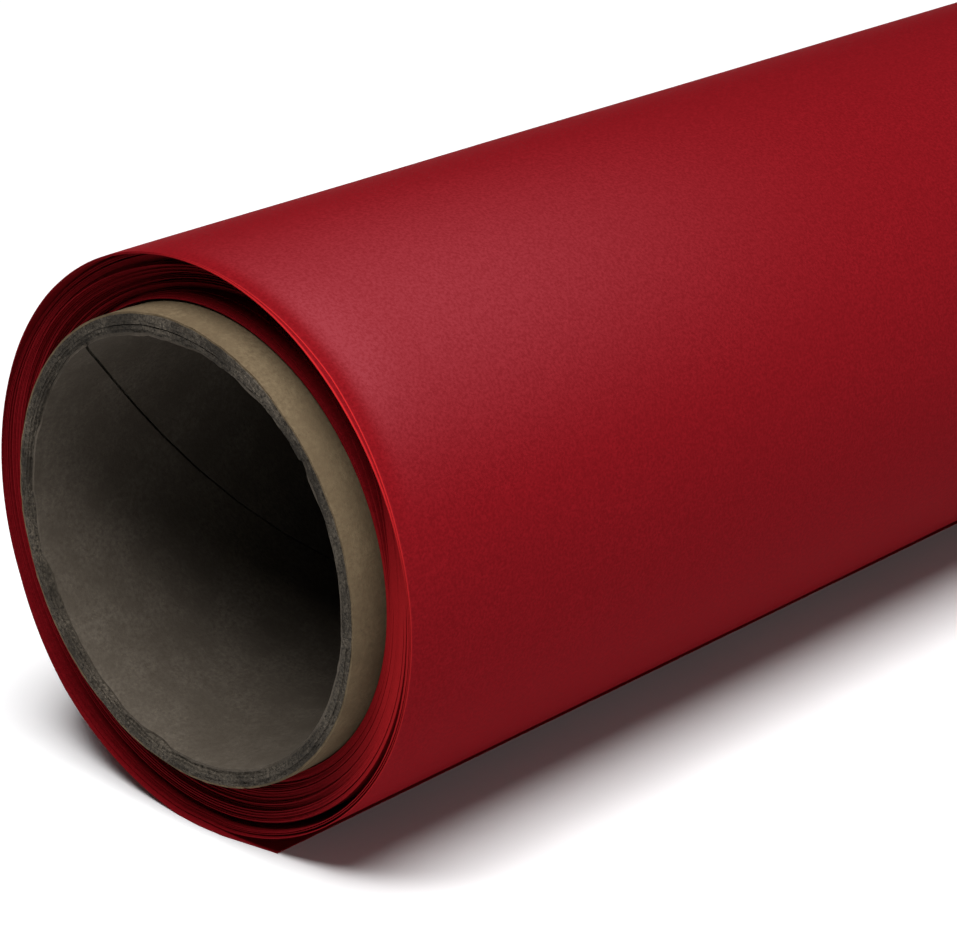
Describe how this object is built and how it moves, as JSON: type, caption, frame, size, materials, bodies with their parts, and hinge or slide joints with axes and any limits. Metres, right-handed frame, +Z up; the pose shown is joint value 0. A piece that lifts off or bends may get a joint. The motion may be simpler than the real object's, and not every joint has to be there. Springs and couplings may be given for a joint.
{
  "type": "backdrop paper roll",
  "caption": "Seamless backdrop paper wound on a spiral-wound core with an open bore, lying on its short free tail; its turns telescope and the pack twists in the loose outer turns.",
  "frame": {"origin": "centre of the core's bore, halfway along the core", "axes": "+X along the roll, with the pictured end at -X; +Z up; -Y towards the front, where the free tail lies"},
  "size_m": [1.3616, 0.077, 0.0769],
  "materials": {
    "red_paper": "matte, slightly fibrous",
    "core_liner": "smooth pressed board",
    "core_board": "saw-cut fibrous board",
    "core_kraft": "smooth kraft",
    "paper_tape": "satin"
  },
  "bodies": {
    "outer_wraps": {"outer_turn": "red_paper", "loose_turns": "red_paper"},
    "turns_8": {"wound_turns_8": "red_paper"},
    "turns_7": {"wound_turns_7": "red_paper"},
    "turns_6": {"wound_turns_6": "red_paper"},
    "turns_5": {"wound_turns_5": "red_paper"},
    "turns_4": {"wound_turns_4": "red_paper"},
    "turns_3": {"wound_turns_3": "red_paper"},
    "turns_2": {"wound_turns_2": "red_paper"},
    "core": {"core_inner_liner": "core_liner", "core_body_ply_1": "core_board", "core_body_ply_2": "core_board", "core_body_ply_3": "core_board", "core_body_ply_4": "core_board", "core_body_ply_5": "core_board", "core_outer_ply": "core_kraft", "start_tape_tabs": "paper_tape", "wound_turns_1": "red_paper"},
    "tail_inner": {"tail_strip_1": "red_paper"},
    "tail_edge": {"tail_strip_2": "red_paper"}
  },
  "joints": [
    {"name": "pack_twist", "type": "hinge", "parent": "outer_wraps", "child": "turns_8", "pos_m": [0, 0, 0], "axis": [1, 0, 0], "range_deg": [-30, 40]},
    {"name": "telescope_7", "type": "slide", "parent": "turns_8", "child": "turns_7", "axis": [1, 0, 0], "range_m": [-0.002, 0.002]},
    {"name": "telescope_6", "type": "slide", "parent": "turns_7", "child": "turns_6", "axis": [1, 0, 0], "range_m": [-0.002, 0.002]},
    {"name": "telescope_5", "type": "slide", "parent": "turns_6", "child": "turns_5", "axis": [1, 0, 0], "range_m": [-0.002, 0.002]},
    {"name": "telescope_4", "type": "slide", "parent": "turns_5", "child": "turns_4", "axis": [1, 0, 0], "range_m": [-0.002, 0.002]},
    {"name": "telescope_3", "type": "slide", "parent": "turns_4", "child": "turns_3", "axis": [1, 0, 0], "range_m": [-0.002, 0.002]},
    {"name": "telescope_2", "type": "slide", "parent": "turns_3", "child": "turns_2", "axis": [1, 0, 0], "range_m": [-0.002, 0.002]},
    {"name": "telescope_1", "type": "slide", "parent": "turns_2", "child": "core", "axis": [1, 0, 0], "range_m": [-0.002, 0.002]},
    {"name": "tail_lift", "type": "hinge", "parent": "outer_wraps", "child": "tail_inner", "pos_m": [0, -0.00717, -0.0387], "axis": [-1, 0, 0], "range_deg": [0, 10]},
    {"name": "tail_curl", "type": "hinge", "parent": "tail_inner", "child": "tail_edge", "pos_m": [0, -0.01016, -0.0387], "axis": [-1, 0, 0], "range_deg": [0, 8]}
  ],
  "couplings": [
    {"joint": "telescope_6", "follows": "telescope_7", "ratio": 1},
    {"joint": "telescope_5", "follows": "telescope_7", "ratio": 1},
    {"joint": "telescope_4", "follows": "telescope_7", "ratio": 1},
    {"joint": "telescope_3", "follows": "telescope_7", "ratio": 1},
    {"joint": "telescope_2", "follows": "telescope_7", "ratio": 1},
    {"joint": "telescope_1", "follows": "telescope_7", "ratio": 1}
  ]
}
